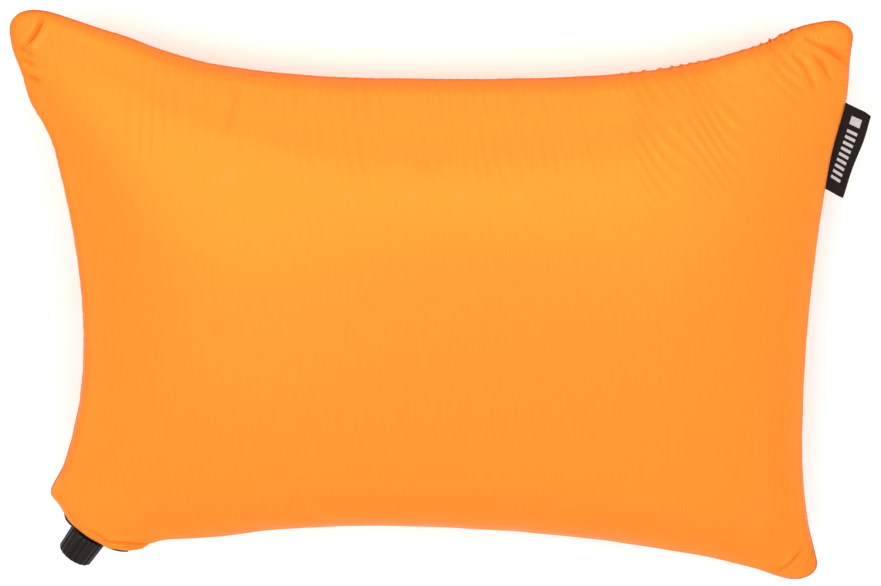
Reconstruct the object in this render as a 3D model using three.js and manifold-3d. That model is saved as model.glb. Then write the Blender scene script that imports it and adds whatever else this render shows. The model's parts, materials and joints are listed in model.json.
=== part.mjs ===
// A self-inflating camp pillow, in millimetres, lying on its back panel with its front panel up (+Z).
// +X is the side with the label, +Y the top edge, and the valve is in the cut corner at -X, -Y.
// Every soft piece is a dome or a band laid over the seam line, so all of them follow one outline.
import * as THREE from "three";
import { mergeVertices } from "three/addons/utils/BufferGeometryUtils.js";
import Module from "manifold-3d";

const wasm = await Module();
wasm.setup();

// The seam line wraps round a circle at each corner, anticlockwise from the upper left.
const CORNERS = [
  { x: -211, y: 153, radius: 13 },
  { x: -192, y: -107, radius: 22 },
  { x: -168, y: -124, radius: 22 },
  { x: 216, y: -164, radius: 13 },
  { x: 219, y: 143, radius: 13 },
];
// The edge after each corner bows in towards the middle: left side, cut corner, bottom, right side, top.
// An edge that leans forward is deepest past its half way.
const EDGES = [
  { bow: 24, lean: 0.12, steps: 12 },
  { bow: 0, lean: 0, steps: 6 },
  { bow: 25, lean: -0.1, steps: 14 },
  { bow: 13, lean: -0.4, steps: 16 },
  { bow: 36, lean: 0, steps: 14 },
];
const CUT_CORNER = 1; // the edge that holds the valve
const RIGHT_SIDE = 3; // the edge that holds the label
const CORNER_STEPS = 4;
const HANDLE = 0.23; // an edge's curve handles, as a share of its length
const SMALLEST_CORNER = 3; // corner radius of the innermost outlines
const CORNER_PULL = 2.2; // how far a sharp ear moves in for each millimetre of inset

// The swell of the pillow either side of the seam plane.
const MIDDLE = new THREE.Vector2(0, -5);
const HALF_WIDTH = 205;
const HALF_HEIGHT = 140;
const RISE = 60; // from the seam plane to the crown of the cover
const REST_DROP = 58; // from the seam plane to the surface it lies on, which flattens the back crown
const FULLNESS = 3; // the higher, the flatter the middle and the steeper the sides
const EAR_SHARPNESS = 8; // the higher, the shorter the pinched ears at the corners
const RING_PLACES = [0.3, 0.6, 0.82, 0.94, 0.985, 1]; // where the rings lie, from the middle out to the rim
const LIFT_SPREAD = 6; // how fast a lifted rim dies away inwards

// Cover: two fabric panels with turned-in margins.
const CLOTH = 0.8;
const SEAM_GAP = 0.2; // half the gap between the two panels
const MARGIN = 8;
const MARGIN_AT_MOUTH = 3;
const LINING_INSET = 2; // where the inner face of a panel leaves its margin
const STITCH_INSET = 8.65;
const STITCH_WIDTH = 0.9;
const STITCH_START = 44; // distance from the valve at which the stitching starts

// Bladder: two films with a flat weld round the rim, and the foam inside them.
const FILM = 0.4;
const FILM_GAP = 0.15; // half the gap between the two films
const FILM_INSET = 10.5;
const FILM_INSET_AT_MOUTH = 4.2;
const WELD_INSET = 15.5;
const WELD_INSET_AT_MOUTH = 13;
const WELD_WALL = 1; // how much further in the inner faces part
const FILM_CLEARANCE = 1.5; // from the cover's inner face to the film, and from the film to the foam
const FOAM_INSET = 23;
const FOAM_EDGE = 1.5; // half the thickness of the foam's edge

// The mouth in the cut corner, and the boat-shaped flange of the valve body that fills it.
const MOUTH_HALF = 34;
const MOUTH_RISE = 9; // of the cover's lips
const FILM_MOUTH_RISE = 8.4;
const MOUTH_FADE = [30, 50]; // distance from the valve over which the margins take up their full width
const BOAT_HALF = 24;
const BOAT_RISE = 7.3;
const BOAT_TIP = 0.4;
const BOAT_DEPTH = 10;
const BOAT_PROUD = 1;

// Valve, along its own axis: 0 is the edge of the cover, and the axis points out of the pillow.
const PITCH = 3; // one turn opens the valve
const STEM_RADIUS = 7.4;
const STEM_NECK_RADIUS = 6.6;
const STEM_SHOULDER = 9.1;
const STEM_TOP = 14.8;
const BORE_RADIUS = 4.6;
const CAP_RADIUS = 11;
const CAP_BOTTOM = 1.6;
const CAP_TOP = 18;
const CAP_WALL_TOP = 16; // underside of the cap's end wall
const CAP_BORE = 8.6;
const CAP_NECK_BORE = 6.9;
const AIR_HOLE = 3;
const GRIP_RIBS = 18;
const GRIP_DEPTH = 0.6;
const EDGE_BREAK = 0.4; // chamfer on the turned edges
const CUT_PAST = 1; // how far a hole is cut past the piece it goes through
const THREAD_SEAT = 2.4; // where the stem's thread starts
const THREAD_DEPTH = 0.8;
const THREAD_SUNK = 0.3; // how far a ridge's root reaches into its wall
const THREAD_ROOT_HALF = 0.6; // half the ridge's width at the root
const THREAD_CREST_HALF = 0.35;
const THREAD_PLAY = 0.05; // how much less the cap's ridge reaches
const THREAD_GROWTH = 6; // a ridge grows out of the wall over a sixth of a turn
const THREAD_START_SHARE = 0.1; // and starts with this share of its height
const THREAD_STEPS = 20; // per turn
const STEM_THREAD = { from: 0, to: 2 }; // in turns
const CAP_THREAD = { from: -0.43, to: 0.67 };
const CAP_RING_PLACE = 10.4;
const CAP_RING_RADIUS = 7.6;
const CAP_RING_TUBE = 0.7;
const GROOVE_HALF = 1.1;
const GROOVE_RADIUS = 8.8;
const POST_RADIUS = 1.6;
const POST_BOTTOM = 4;
const DISC_RADIUS = 3.9;
const DISC_BOTTOM = 13.5;
const DISC_TOP = 14.3;
const DISC_FLARE = 0.5; // rise of the cone under the disc
const PLUG_RADIUS = 2.5;
const PLUG_TOP = 17.4;
const BLADES = 3;
const BLADE_SIZE = { length: 4.2, height: 3, thickness: 1.2 };
const STOPPER_RING_PLACE = 15.15;
const STOPPER_RING_RADIUS = 3.4;
const STOPPER_RING_TUBE = 0.55;
const ROUND = 28; // sides of a round piece
const TUBE_SIDES = 6; // sides of a sealing ring's section

// Label: a ribbon folded double, caught in the right side's seam.
const LABEL_PLACE = 0.815; // share of the way up the right side
const LABEL_LENGTH = 48;
const LABEL_PROUD = 14.5;
const LABEL_TAIL = 6;
const LABEL_PLY = 0.5;
const LABEL_GAP = 0.15; // half the gap between the two plies
const LABEL_LIFT = 0.75; // how much further apart the panels are there
const LABEL_FADE = [40, 55];
const FOLD_STEPS = 6;

const { lerp, smoothstep } = THREE.MathUtils;
const QUARTER_TURN = Math.PI / 2;
const heading = (angle) => new THREE.Vector2(Math.cos(angle), Math.sin(angle));

// A corner's circle for an outline that lies this far inside the seam line.
function cornerCircle({ x, y, radius }, inset) {
  const kept = Math.max(radius - inset, Math.min(radius, SMALLEST_CORNER));
  const pull = CORNER_PULL * (inset - (radius - kept));
  const place = new THREE.Vector2(x, y);
  const inward = MIDDLE.clone().sub(place).normalize();
  return { centre: place.addScaledVector(inward, pull), radius: kept };
}

// The bowed edge from one corner's circle to the next, and the directions that it leaves and arrives in.
function edgeBetween(from, to, { bow, lean }) {
  const along = to.centre.clone().sub(from.centre);
  const length = along.length();
  const straight = along.angle() + Math.asin((from.radius - to.radius) / length);
  const flare = bow / (0.75 * HANDLE * length); // a cubic curve bows by 3/4 of its handles' rise
  const leaving = straight + Math.asin(flare * (1 - lean));
  const arriving = straight - Math.asin(flare * (1 + lean));
  const start = from.centre.clone().addScaledVector(heading(leaving - QUARTER_TURN), from.radius);
  const end = to.centre.clone().addScaledVector(heading(arriving - QUARTER_TURN), to.radius);
  const curve = new THREE.CubicBezierCurve(
    start,
    start.clone().addScaledVector(heading(leaving), HANDLE * length),
    end.clone().addScaledVector(heading(arriving), -HANDLE * length),
    end,
  );
  return { curve, leaving, arriving };
}

function edgesAt(inset) {
  const circles = CORNERS.map((corner) => cornerCircle(corner, inset));
  const next = (i) => circles[(i + 1) % circles.length];
  return circles.map((circle, i) => ({
    circle,
    ...edgeBetween(circle, next(i), EDGES[i]),
  }));
}

// Points of the outline that lies this far inside the seam line, anticlockwise.
function outlineAt(inset) {
  const edges = edgesAt(inset);
  const points = [];
  edges.forEach(({ circle, curve, leaving }, i) => {
    const before = edges[(i + edges.length - 1) % edges.length].arriving;
    const turn = THREE.MathUtils.euclideanModulo(leaving - before, 2 * Math.PI);
    for (let step = 0; step < CORNER_STEPS; step++) {
      const angle = before + (turn * step) / CORNER_STEPS - QUARTER_TURN;
      points.push(circle.centre.clone().addScaledVector(heading(angle), circle.radius));
    }
    points.push(...curve.getSpacedPoints(EDGES[i].steps).slice(0, -1));
  });
  return points;
}

const SEAM = outlineAt(0);
const cutCorner = edgesAt(0)[CUT_CORNER];
const VALVE = cutCorner.curve.getPointAt(0.5);
const VALVE_HEADING = cutCorner.leaving - QUARTER_TURN;
const rightSide = edgesAt(0)[RIGHT_SIDE];
const LABEL = rightSide.curve.getPointAt(LABEL_PLACE);
const LABEL_HEADING = rightSide.curve.getTangentAt(LABEL_PLACE).angle() - QUARTER_TURN;

// An outline with another inset beside the valve, where the margins are cut narrow.
function outlineWithMouth(inset, insetAtMouth) {
  const atMouth = outlineAt(insetAtMouth);
  return outlineAt(inset).map((point, k) => {
    const away = smoothstep(SEAM[k].distanceTo(VALVE), ...MOUTH_FADE);
    return atMouth[k].clone().lerp(point, away);
  });
}

// How far each point of a rim stands off the seam plane: it opens at the mouth and, on the cover, the label.
function rimLifts(gap, mouthRise, labelRise) {
  return SEAM.map((point) => {
    const fromValve = Math.min(point.distanceTo(VALVE) / MOUTH_HALF, 1);
    const fromLabel = smoothstep(point.distanceTo(LABEL), ...LABEL_FADE);
    return gap + mouthRise * (1 - fromValve ** 2) ** 2 + labelRise * (1 - fromLabel);
  });
}

// The swell at a share of the way out from the middle to a rim point: 1 in the middle, 0 at the rim.
// It meets the seam upright half way along an edge, and at a slant at a corner.
function swell(rimPoint, share) {
  const across = Math.abs(rimPoint.x - MIDDLE.x) / HALF_WIDTH;
  const up = Math.abs(rimPoint.y - MIDDLE.y) / HALF_HEIGHT;
  const ear = ((2 * across * up) / (across ** 2 + up ** 2)) ** EAR_SHARPNESS;
  return (1 - share ** FULLNESS) ** ((1 + ear) / 2);
}

// Rings of a dome over an outline, from the middle outwards. A back dome is cut flat where the pillow lies.
function domeRings(outline, lifts, rise, side) {
  const most = side > 0 ? rise : rise - (RISE - REST_DROP);
  return RING_PLACES.map((share) =>
    outline.map((point, k) => {
      const height = lifts[k] * share ** LIFT_SPREAD + rise * swell(point, share);
      const flat = MIDDLE.clone().lerp(point, share);
      return new THREE.Vector3(flat.x, flat.y, side * Math.min(height, most));
    }),
  );
}

function domePole(rise, side) {
  const drop = side > 0 ? 0 : RISE - REST_DROP;
  return new THREE.Vector3(MIDDLE.x, MIDDLE.y, side * (rise - drop));
}

function flatRing(outline, lifts, side) {
  return outline.map((point, k) => new THREE.Vector3(point.x, point.y, side * lifts[k]));
}

const raised = (lifts, by) => lifts.map((lift) => lift + by);

// A closed body through rings of equally many points, closed at each end by a fan round a pole.
function ringSolid(firstPole, rings, lastPole) {
  const count = rings[0].length;
  const points = [firstPole, ...rings.flat(), lastPole];
  const at = (ring, k) => 1 + ring * count + (k % count);
  const lastRing = rings.length - 1;
  const faces = [];
  for (let k = 0; k < count; k++) {
    faces.push(0, at(0, k), at(0, k + 1));
    for (let ring = 0; ring < lastRing; ring++) {
      faces.push(at(ring, k), at(ring + 1, k), at(ring + 1, k + 1));
      faces.push(at(ring, k), at(ring + 1, k + 1), at(ring, k + 1));
    }
    faces.push(points.length - 1, at(lastRing, k + 1), at(lastRing, k));
  }
  return new THREE.BufferGeometry().setFromPoints(points).setIndex(faces);
}

// A closed body through sections of equally many points, anticlockwise seen against the way it travels.
function loft(sections) {
  const size = sections[0].length;
  const at = (section, j) => section * size + (j % size);
  const last = sections.length - 1;
  const faces = [];
  for (let i = 0; i < last; i++) {
    for (let j = 0; j < size; j++) {
      faces.push(at(i, j), at(i, j + 1), at(i + 1, j + 1));
      faces.push(at(i, j), at(i + 1, j + 1), at(i + 1, j));
    }
  }
  for (let j = 1; j + 1 < size; j++) {
    faces.push(at(0, 0), at(0, j + 1), at(0, j));
    faces.push(at(last, 0), at(last, j), at(last, j + 1));
  }
  return new THREE.BufferGeometry().setFromPoints(sections.flat()).setIndex(faces);
}

// A band between two outlines, as thick at each place along the seam as twice its half height there.
function rimBand(places, inner, outer, halfHeight) {
  const corner = (point, height) => new THREE.Vector3(point.x, point.y, height);
  return loft(
    places.map((k) => [
      corner(inner[k], -halfHeight(k)),
      corner(inner[k], halfHeight(k)),
      corner(outer[k], halfHeight(k)),
      corner(outer[k], -halfHeight(k)),
    ]),
  );
}

// A shell of two domes over one rim: rings are given from the outer crown to the inner crown.
function shell(rings, outerPole, innerPole, side) {
  return side > 0 ? ringSolid(outerPole, rings, innerPole) : ringSolid(innerPole, rings.reverse(), outerPole);
}

function coverPanel(side) {
  const lifts = rimLifts(SEAM_GAP, MOUTH_RISE, LABEL_LIFT);
  const margin = outlineWithMouth(MARGIN, MARGIN_AT_MOUTH);
  const upper = raised(lifts, CLOTH);
  const inside = RISE - CLOTH;
  const rings = [
    ...domeRings(SEAM, lifts, RISE, side),
    flatRing(margin, lifts, side),
    flatRing(margin, upper, side),
    ...domeRings(outlineAt(LINING_INSET), upper, inside, side).reverse(),
  ];
  return shell(rings, domePole(RISE, side), domePole(inside, side), side);
}

function bladderFilm(side) {
  const lifts = rimLifts(FILM_GAP, FILM_MOUTH_RISE, 0);
  const rim = outlineWithMouth(FILM_INSET, FILM_INSET_AT_MOUTH);
  const weld = outlineWithMouth(WELD_INSET, WELD_INSET_AT_MOUTH);
  const inner = outlineWithMouth(WELD_INSET + WELD_WALL, WELD_INSET_AT_MOUTH + WELD_WALL);
  const upper = raised(lifts, FILM);
  const outside = RISE - CLOTH - FILM_CLEARANCE;
  const inside = outside - FILM;
  const rings = [
    ...domeRings(weld, upper, outside, side),
    flatRing(rim, upper, side),
    flatRing(rim, lifts, side),
    ...domeRings(inner, lifts, inside, side).reverse(),
  ];
  return shell(rings, domePole(outside, side), domePole(inside, side), side);
}

function foamCore() {
  const outline = outlineAt(FOAM_INSET).filter((_, k) => k % 2 === 0);
  const edge = outline.map(() => FOAM_EDGE);
  const rise = RISE - CLOTH - FILM - 2 * FILM_CLEARANCE;
  const rings = [...domeRings(outline, edge, rise, 1), ...domeRings(outline, edge, rise, -1).reverse()];
  return ringSolid(domePole(rise, 1), rings, domePole(rise, -1));
}

// The overlock stitching runs along the turned-in margins from one side of the mouth round to the other.
function seamThread() {
  const places = [...SEAM.keys()].filter((k) => SEAM[k].distanceTo(VALVE) > STITCH_START);
  const fromMouth = places.sort((a, b) => turnAfterValve(a) - turnAfterValve(b));
  const outer = outlineWithMouth(STITCH_INSET, STITCH_INSET - MARGIN + MARGIN_AT_MOUTH);
  const insideEdge = STITCH_INSET + STITCH_WIDTH;
  const inner = outlineWithMouth(insideEdge, insideEdge - MARGIN + MARGIN_AT_MOUTH);
  return rimBand(fromMouth, inner, outer, () => STITCH_WIDTH / 2);
}

// The angle about the pillow's middle from the valve anticlockwise to a place on the seam.
function turnAfterValve(k) {
  const angle = SEAM[k].clone().sub(MIDDLE).angle() - VALVE.clone().sub(MIDDLE).angle();
  return THREE.MathUtils.euclideanModulo(angle, 2 * Math.PI);
}

function sideLabel() {
  const outer = LABEL_GAP + LABEL_PLY;
  const bend = LABEL_PROUD - outer;
  const ribbon = new THREE.Shape()
    .moveTo(-LABEL_TAIL, -outer)
    .lineTo(bend, -outer)
    .absarc(bend, 0, outer, -QUARTER_TURN, QUARTER_TURN)
    .lineTo(-LABEL_TAIL, outer)
    .lineTo(-LABEL_TAIL, LABEL_GAP)
    .lineTo(bend, LABEL_GAP)
    .absarc(bend, 0, LABEL_GAP, QUARTER_TURN, -QUARTER_TURN, true)
    .lineTo(-LABEL_TAIL, -LABEL_GAP);
  const options = { depth: LABEL_LENGTH, bevelEnabled: false, curveSegments: FOLD_STEPS };
  return new THREE.ExtrudeGeometry(ribbon, options).translate(0, 0, -LABEL_LENGTH / 2).rotateX(QUARTER_TURN);
}

function solidOf(geometry) {
  geometry.deleteAttribute("normal");
  geometry.deleteAttribute("uv");
  const merged = mergeVertices(geometry);
  const mesh = new wasm.Mesh({
    numProp: 3,
    vertProperties: new Float32Array(merged.attributes.position.array),
    triVerts: new Uint32Array(merged.index.array),
  });
  return new wasm.Manifold(mesh);
}

function geometryOf(solid) {
  const { vertProperties, triVerts } = solid.getMesh();
  return new THREE.BufferGeometry()
    .setAttribute("position", new THREE.BufferAttribute(vertProperties, 3))
    .setIndex(new THREE.BufferAttribute(triVerts, 1));
}

// A turned solid about the valve's axis from [radius, height] pairs that start and end on the axis.
function turned(...profile) {
  const points = profile.map(([radius, height]) => new THREE.Vector2(radius, height));
  return solidOf(new THREE.LatheGeometry(points, ROUND));
}

// A helical ridge that stands on a wall and grows out of it at each end.
function threadRidge({ wall, crest, seat, from, to }) {
  const steps = Math.round((to - from) * THREAD_STEPS);
  const outward = Math.sign(crest - wall);
  const root = wall - THREAD_SUNK * outward;
  const sections = [];
  for (let i = 0; i <= steps; i++) {
    const turn = lerp(from, to, i / steps);
    const grown = Math.min(1, THREAD_START_SHARE + THREAD_GROWTH * Math.min(turn - from, to - turn));
    const tip = lerp(wall, crest, grown);
    const corner = (radius, up) => {
      const angle = 2 * Math.PI * turn;
      return new THREE.Vector3(radius * Math.sin(angle), seat + PITCH * turn + up, radius * Math.cos(angle));
    };
    const rootSide = [corner(root, -THREAD_ROOT_HALF), corner(root, THREAD_ROOT_HALF)];
    const tipSide = [corner(tip, THREAD_CREST_HALF), corner(tip, -THREAD_CREST_HALF)];
    const section = outward > 0 ? [...rootSide, ...tipSide] : [...tipSide.reverse(), ...rootSide.reverse()];
    sections.push(section);
  }
  return solidOf(loft(sections));
}

// The boat is lens-shaped across the seam plane, and in plan it follows the cut corner's edge.
function boatFlange() {
  const places = [...SEAM.keys()].filter((k) => SEAM[k].distanceTo(VALVE) < BOAT_HALF);
  const halfHeight = (k) => {
    const out = SEAM[k].distanceTo(VALVE) / BOAT_HALF;
    return lerp(BOAT_RISE, BOAT_TIP, out ** 2);
  };
  const geometry = rimBand(places, outlineAt(BOAT_DEPTH), outlineAt(-BOAT_PROUD), halfHeight);
  valve.updateMatrix();
  return solidOf(geometry.applyMatrix4(valve.matrix.clone().invert()));
}

function valveBody() {
  const stem = turned(
    [0, 0],
    [STEM_RADIUS, 0],
    [STEM_RADIUS, STEM_SHOULDER],
    [STEM_NECK_RADIUS, STEM_SHOULDER + EDGE_BREAK],
    [STEM_NECK_RADIUS, STEM_TOP - EDGE_BREAK],
    [STEM_NECK_RADIUS - EDGE_BREAK, STEM_TOP],
    [0, STEM_TOP],
  );
  const crest = STEM_RADIUS + THREAD_DEPTH;
  const ridge = threadRidge({ wall: STEM_RADIUS, crest, seat: THREAD_SEAT, ...STEM_THREAD });
  const bottom = -BOAT_DEPTH - 2 * CUT_PAST;
  const top = STEM_TOP + CUT_PAST;
  const bore = turned([0, bottom], [BORE_RADIUS, bottom], [BORE_RADIUS, top], [0, top]);
  return geometryOf(boatFlange().add(stem).add(ridge).subtract(bore));
}

// The post that stands in the stem on blades, with the plug that closes the cap's air hole.
function valveStopper() {
  let stopper = turned(
    [0, POST_BOTTOM],
    [POST_RADIUS, POST_BOTTOM],
    [POST_RADIUS, DISC_BOTTOM - DISC_FLARE],
    [DISC_RADIUS, DISC_BOTTOM],
    [DISC_RADIUS, DISC_TOP],
    [PLUG_RADIUS, DISC_TOP],
    [PLUG_RADIUS, PLUG_TOP - EDGE_BREAK],
    [PLUG_RADIUS - EDGE_BREAK, PLUG_TOP],
    [0, PLUG_TOP],
  );
  const { length, height, thickness } = BLADE_SIZE;
  for (let blade = 0; blade < BLADES; blade++) {
    const box = new THREE.BoxGeometry(length, height, thickness);
    box.translate(length / 2, POST_BOTTOM + height / 2, 0).rotateY((blade * 2 * Math.PI) / BLADES);
    stopper = stopper.add(solidOf(box));
  }
  return geometryOf(stopper);
}

function gripRing(height, radius, depth) {
  const ring = [];
  for (let k = 0; k < 4 * GRIP_RIBS; k++) {
    const angle = (2 * Math.PI * k) / (4 * GRIP_RIBS);
    const reach = k % 4 < 2 ? radius : radius - depth;
    ring.push(new THREE.Vector3(reach * Math.sin(angle), height, reach * Math.cos(angle)));
  }
  return ring;
}

// The cap tapers a little towards its rounded end.
function valveCap() {
  const outside = ringSolid(
    new THREE.Vector3(0, CAP_TOP, 0),
    [
      gripRing(CAP_TOP, CAP_RADIUS - 1.8, 0),
      gripRing(CAP_TOP - 0.5, CAP_RADIUS - 1, GRIP_DEPTH / 2),
      gripRing(CAP_TOP - 1.5, CAP_RADIUS - 0.6, GRIP_DEPTH),
      gripRing(CAP_BOTTOM + EDGE_BREAK, CAP_RADIUS, GRIP_DEPTH),
      gripRing(CAP_BOTTOM, CAP_RADIUS - EDGE_BREAK, GRIP_DEPTH),
    ],
    new THREE.Vector3(0, CAP_BOTTOM, 0),
  );
  const cavity = turned(
    [0, CAP_BOTTOM - CUT_PAST],
    [CAP_BORE, CAP_BOTTOM - CUT_PAST],
    [CAP_BORE, CAP_RING_PLACE - GROOVE_HALF],
    [GROOVE_RADIUS, CAP_RING_PLACE - GROOVE_HALF],
    [GROOVE_RADIUS, CAP_RING_PLACE + GROOVE_HALF],
    [CAP_NECK_BORE, CAP_RING_PLACE + GROOVE_HALF],
    [CAP_NECK_BORE, CAP_WALL_TOP],
    [AIR_HOLE, CAP_WALL_TOP],
    [AIR_HOLE, CAP_TOP + CUT_PAST],
    [0, CAP_TOP + CUT_PAST],
  );
  const seat = THREAD_SEAT + PITCH / 2;
  const crest = CAP_BORE - THREAD_DEPTH + THREAD_PLAY;
  const ridge = threadRidge({ wall: CAP_BORE, crest, seat, ...CAP_THREAD });
  return geometryOf(solidOf(outside).subtract(cavity).add(ridge));
}

function sealRing(radius, tube, place) {
  const ring = new THREE.TorusGeometry(radius, tube, TUBE_SIDES, ROUND);
  return ring.rotateX(QUARTER_TURN).translate(0, place, 0);
}

const CLOTH_ORANGE = { color: 0xffa034, roughness: 0.55, metalness: 0 };
const THREAD_ORANGE = { color: 0xf08a24, roughness: 0.7, metalness: 0 };
const FILM_GREY = { color: 0xb9bcc0, roughness: 0.4, metalness: 0 };
const FOAM_CREAM = { color: 0xe8dfc4, roughness: 0.95, metalness: 0 };
const VALVE_BLACK = { color: 0x26221f, roughness: 0.5, metalness: 0 };
const RUBBER_BLACK = { color: 0x161616, roughness: 0.7, metalness: 0 };
const LABEL_BLACK = { color: 0x241c1c, roughness: 0.85, metalness: 0 };

function piece(name, geometry, look) {
  const mesh = new THREE.Mesh(geometry, new THREE.MeshStandardMaterial(look));
  mesh.name = name;
  return mesh;
}

const valve = new THREE.Group();
valve.position.set(VALVE.x, VALVE.y, 0);
valve.rotation.z = VALVE_HEADING - QUARTER_TURN;
valve.add(
  piece("valve_body", valveBody(), VALVE_BLACK),
  piece("valve_stopper", valveStopper(), VALVE_BLACK),
  piece("stopper_oring", sealRing(STOPPER_RING_RADIUS, STOPPER_RING_TUBE, STOPPER_RING_PLACE), RUBBER_BLACK),
  piece("cap_oring", sealRing(CAP_RING_RADIUS, CAP_RING_TUBE, CAP_RING_PLACE), RUBBER_BLACK),
  piece("valve_cap", valveCap(), VALVE_BLACK),
);

const label = piece("side_label", sideLabel(), LABEL_BLACK);
label.position.set(LABEL.x, LABEL.y, 0);
label.rotation.z = LABEL_HEADING;

const pillow = new THREE.Group();
pillow.add(
  piece("cover_front_panel", coverPanel(1), CLOTH_ORANGE),
  piece("cover_back_panel", coverPanel(-1), CLOTH_ORANGE),
  piece("cover_seam_thread", seamThread(), THREAD_ORANGE),
  piece("bladder_front_film", bladderFilm(1), FILM_GREY),
  piece("bladder_back_film", bladderFilm(-1), FILM_GREY),
  piece("foam_core", foamCore(), FOAM_CREAM),
  valve,
  label,
);

// The origin is the middle of the pillow's box, on the surface that it lies on.
const box = new THREE.Box3().setFromObject(pillow);
const middle = box.getCenter(new THREE.Vector3());
pillow.position.set(-middle.x, -middle.y, -box.min.z);

const part = new THREE.Group();
part.add(pillow);

export default part;
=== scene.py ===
"""A self-inflating camp pillow lying on its back panel: cover, bladder, foam, twist valve and label.

The cover's outline, the seam's height, the valve and the label's place come from the frame. Each panel of
the cover is a grid of points stretched between its three ears and the valve's mouth. A cloth simulation
blows it up against the sewn seam, and the seam's fine gathers are laid over the result.
"""
import json
import math

import bpy
import numpy as np
from mathutils import Matrix, Vector, noise
from mathutils.bvhtree import BVHTree
from mathutils.kdtree import KDTree


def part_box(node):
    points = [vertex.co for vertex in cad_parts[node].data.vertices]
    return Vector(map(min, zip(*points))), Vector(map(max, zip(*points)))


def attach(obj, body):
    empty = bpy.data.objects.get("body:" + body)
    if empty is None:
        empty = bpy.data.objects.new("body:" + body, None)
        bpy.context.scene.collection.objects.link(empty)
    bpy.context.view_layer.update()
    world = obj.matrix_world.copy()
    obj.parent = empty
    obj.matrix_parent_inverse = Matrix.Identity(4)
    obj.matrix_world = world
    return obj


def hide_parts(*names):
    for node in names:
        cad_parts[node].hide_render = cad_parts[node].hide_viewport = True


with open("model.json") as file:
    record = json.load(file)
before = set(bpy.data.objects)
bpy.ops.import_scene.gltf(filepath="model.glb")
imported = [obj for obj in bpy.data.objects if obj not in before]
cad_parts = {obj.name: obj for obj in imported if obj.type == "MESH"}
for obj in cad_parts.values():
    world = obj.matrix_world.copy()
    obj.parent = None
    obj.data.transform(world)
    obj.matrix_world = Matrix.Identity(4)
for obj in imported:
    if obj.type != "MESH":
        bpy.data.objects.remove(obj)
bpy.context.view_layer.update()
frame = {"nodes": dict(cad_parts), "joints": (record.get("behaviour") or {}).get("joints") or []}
MM = 0.001

# The cover's blown-up shape.
ACROSS = 121  # points along the top and bottom of a panel, and up its sides, as simulated
UPWARDS = 91
FINER = 3  # how many times finer the finished panels are
FULLNESS = 2.6  # the higher, the flatter the middle and the steeper the sides
SIM_FRAMES = 14
EASINGS = 7
SPARE_CLOTH = 0.02  # most spare cloth gathered into the seam, as a share
SPARE_BY_EDGE = {"top": 0.3, "left": 0.25, "bottom": 0.08, "right": 0.12}
SPARE_REACH = 26 * MM  # how far in from the seam it reaches
SWAY = 1.4 * MM  # how far the seam wanders up and down
MOST_MOVE = 9 * MM  # how far the simulation may move a point
FOLD_SHADE_DEPTH = 2.4 * MM  # a fold this deep gets the full painted shade

# The mouth in the cut corner, where the valve's flange comes out.
MOUTH_HALF = 34 * MM
MOUTH_RISE = 8.6 * MM
MOUTH_NEAR = 24 * MM  # from here to the next distance from the valve, the mouth's hold on the seam fades
MOUTH_FAR = 42 * MM
MOUTH_CLEAR = 14 * MM  # how far the seam map stays from the seam there
BOAT_HALF = 24 * MM
BOAT_RISE = 7.3 * MM
BOAT_TIP = 0.4 * MM
BOAT_DEPTH = 10 * MM
BOAT_PROUD = 1.6 * MM  # how far the flange stands out of the cover's edge
BOAT_LAPPED = 3.2 * MM  # how much further in it lies where the cover laps over it

# Layers inside the cover. Their outlines are the seam line, shrunk towards the middle by these shares.
FILM_SHRINK = 0.075
FILM_SHRINK_AT_MOUTH = 0.018
WELD_SHRINK = 0.035  # how much more the inner edge of the weld is shrunk
FILM_MOUTH_RISE = 8.2 * MM
FILM_DROP = 2.4 * MM  # how far the bladder's crown lies under the cover's
FILM_GAP = 0.2 * MM  # half the gap between the two films
FOAM_SHRINK = 0.15
FOAM_DROP = 4.4 * MM
FOAM_EDGE = 1.5 * MM
LEAST_GAP = 1.1 * MM

# The valve, along its own axis from the edge of the cover outwards.
PITCH = 3 * MM
STEM_RADIUS = 7.4 * MM
STEM_NECK_RADIUS = 6.6 * MM
STEM_SHOULDER = 9.1 * MM
STEM_TOP = 14.8 * MM
STEM_BORE = 4.6 * MM
THREAD_DEPTH = 0.8 * MM
THREAD_SEAT = 2.4 * MM
CAP_RADIUS = 11 * MM
CAP_TAPER = 0.6 * MM
CAP_BOTTOM = 1.6 * MM
CAP_TOP = 18 * MM
CAP_WALL_TOP = 16 * MM
CAP_BORE = 8.6 * MM
CAP_NECK_BORE = 6.9 * MM
CAP_ROUNDING = 1.8 * MM
AIR_HOLE = 3 * MM
GROOVE = (9.3 * MM, 11.5 * MM)  # from and to, of the groove that holds the cap's sealing ring
GROOVE_RADIUS = 8.8 * MM
GRIP_RIBS = 18
GRIP_DEPTH = 0.75 * MM

# The label: a ribbon folded double, caught in the seam.
LABEL_LENGTH = 48 * MM
LABEL_PROUD = 15.5 * MM
LABEL_TAIL = 6 * MM
LABEL_PLY = 0.35 * MM
LABEL_SLANT = 3.4 * MM  # how far its fold hangs towards the bottom edge
LABEL_TURN = math.radians(4)  # its lower end sits deeper in the seam

# The overlock stitches over the turned-in margins.
MARGIN = 3 * MM
STITCH = 2.6 * MM
THREAD_RADIUS = 0.2 * MM


# -------- small helpers


def smoothstep(x, low, high):
    t = np.clip((x - low) / (high - low), 0, 1)
    return t * t * (3 - 2 * t)


def bell(x, width):
    """1 at 0, falling smoothly away on both sides."""
    return np.exp(-((x / width) ** 2))


def away_from(spot, points, near, far):
    """From 0 up to one distance from a spot to 1 from another one on."""
    return smoothstep(np.linalg.norm(points[..., :2] - spot[:2], axis=-1), near, far)


def add_object(name, data):
    added = bpy.data.objects.new(name, data)
    bpy.context.scene.collection.objects.link(added)
    return added


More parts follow.
